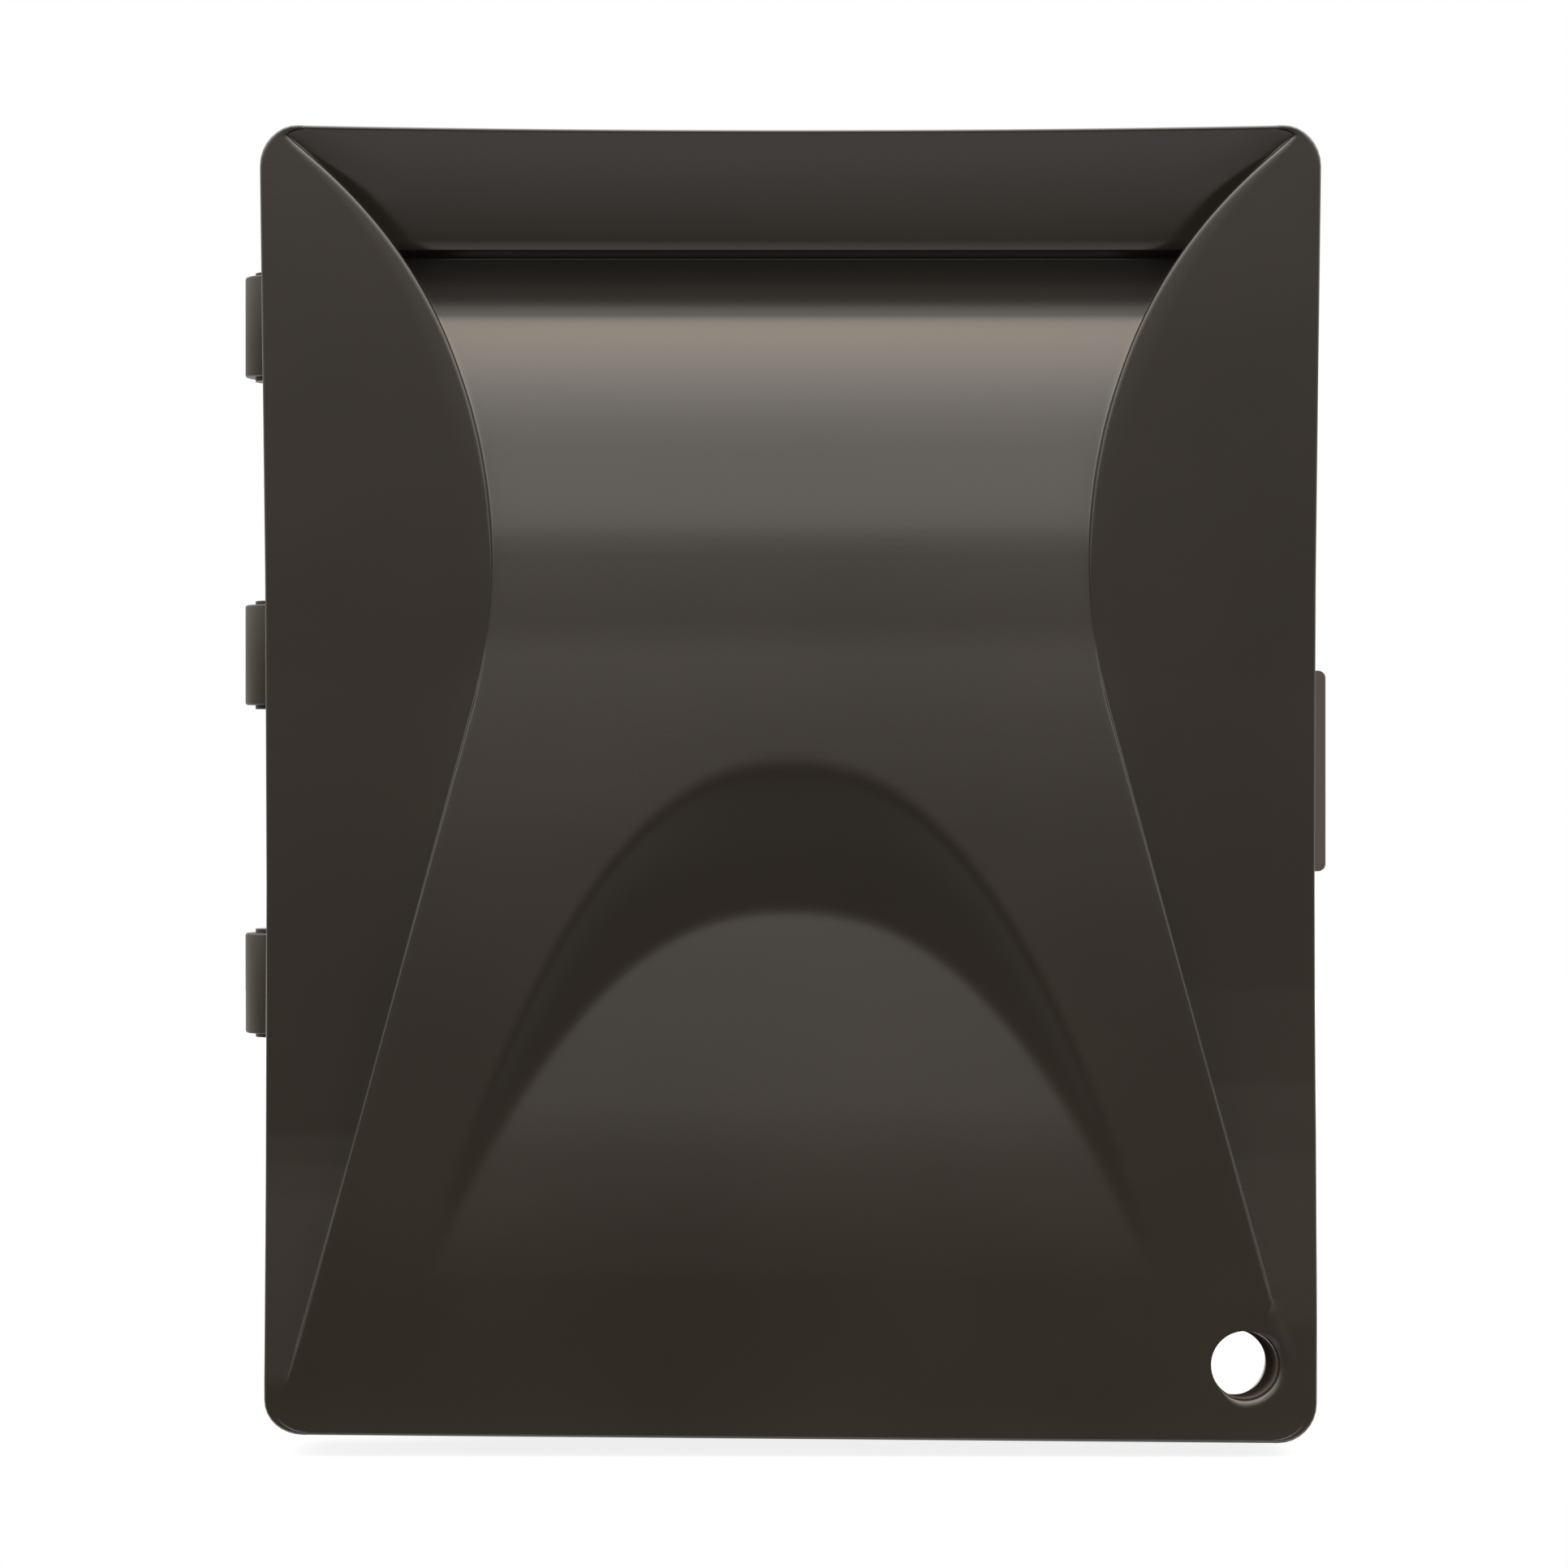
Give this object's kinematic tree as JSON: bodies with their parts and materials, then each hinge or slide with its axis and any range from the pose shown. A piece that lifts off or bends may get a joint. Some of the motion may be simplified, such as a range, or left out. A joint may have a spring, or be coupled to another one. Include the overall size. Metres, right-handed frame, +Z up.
{
  "type": "napkin dispenser",
  "caption": "Dark brown countertop napkin dispenser: moulded hinged cover, gravity-fed stack on a sloping floor, weighted pressure plate, pedestal base, side latch and padlock hole.",
  "frame": {"origin": "Centre of the bounding box on the counter, under the feet", "axes": "+Z up; -Y the hinged cover's side; +Y the customer's side with the mouth; +X towards the latch"},
  "size_m": [0.2159, 0.1431, 0.257],
  "materials": {
    "cover_plastic": "dark brown-black moulded plastic, semi-gloss",
    "lever_plastic": "warm brown-grey moulded plastic",
    "housing_plastic": "near-black moulded plastic, fine texture",
    "panel_plastic": "charcoal moulded plastic",
    "nylon": "natural nylon",
    "plated_steel": "zinc-plated pressed steel",
    "bright_steel": "ground steel rod",
    "spring_steel": "drawn spring wire",
    "screw_steel": "zinc-plated screws",
    "raw_steel": "grey-primed steel plate",
    "foot_rubber": "black rubber",
    "foam": "thin closed-cell foam"
  },
  "bodies": {
    "housing": {"housing_shell": "housing_plastic", "hinge_strip": "housing_plastic", "hinge_strip_screws": "screw_steel", "hinge_rod": "bright_steel", "mouth_panel": "panel_plastic", "mouth_panel_screws": "screw_steel", "mouth_bezel": "lever_plastic", "bezel_screws": "screw_steel", "pedestal": "housing_plastic", "pedestal_screws": "screw_steel", "bottom_plate": "panel_plastic", "bottom_screws": "screw_steel", "ballast": "raw_steel", "feet": "foot_rubber", "guide_rods": "bright_steel", "rod_brackets": "housing_plastic", "bracket_screws": "screw_steel", "latch_bracket": "plated_steel", "latch_bracket_screws": "screw_steel", "latch_pin": "bright_steel", "latch_spring": "spring_steel", "hasp_lug": "plated_steel", "hasp_screws": "screw_steel"},
    "cover": {"cover": "cover_plastic", "hinge_bushes": "nylon", "lock_ferrule": "cover_plastic", "latch_keeper": "plated_steel", "keeper_screws": "screw_steel"},
    "latch": {"latch_lever": "lever_plastic"},
    "follower": {"follower_plate": "panel_plastic", "follower_pad": "foam", "follower_bushes": "nylon", "follower_weight": "raw_steel", "weight_screws": "screw_steel"}
  },
  "joints": [
    {"name": "cover_hinge", "type": "hinge", "parent": "housing", "child": "cover", "pos_m": [-0.10195, -0.04175, 0.13], "axis": [0, 0, -1], "range_deg": [0, 180]},
    {"name": "latch_pivot", "type": "hinge", "parent": "housing", "child": "latch", "pos_m": [0.10195, -0.03275, 0.1326], "axis": [0, 0, 1], "range_deg": [0, 14], "stiffness_Nm_per_rad": 0.08, "springref_deg": -11.46, "deforming": ["latch_spring"]},
    {"name": "follower_slide", "type": "slide", "parent": "housing", "child": "follower", "axis": [0, 0, 1], "range_m": [0, 0.131]}
  ]
}
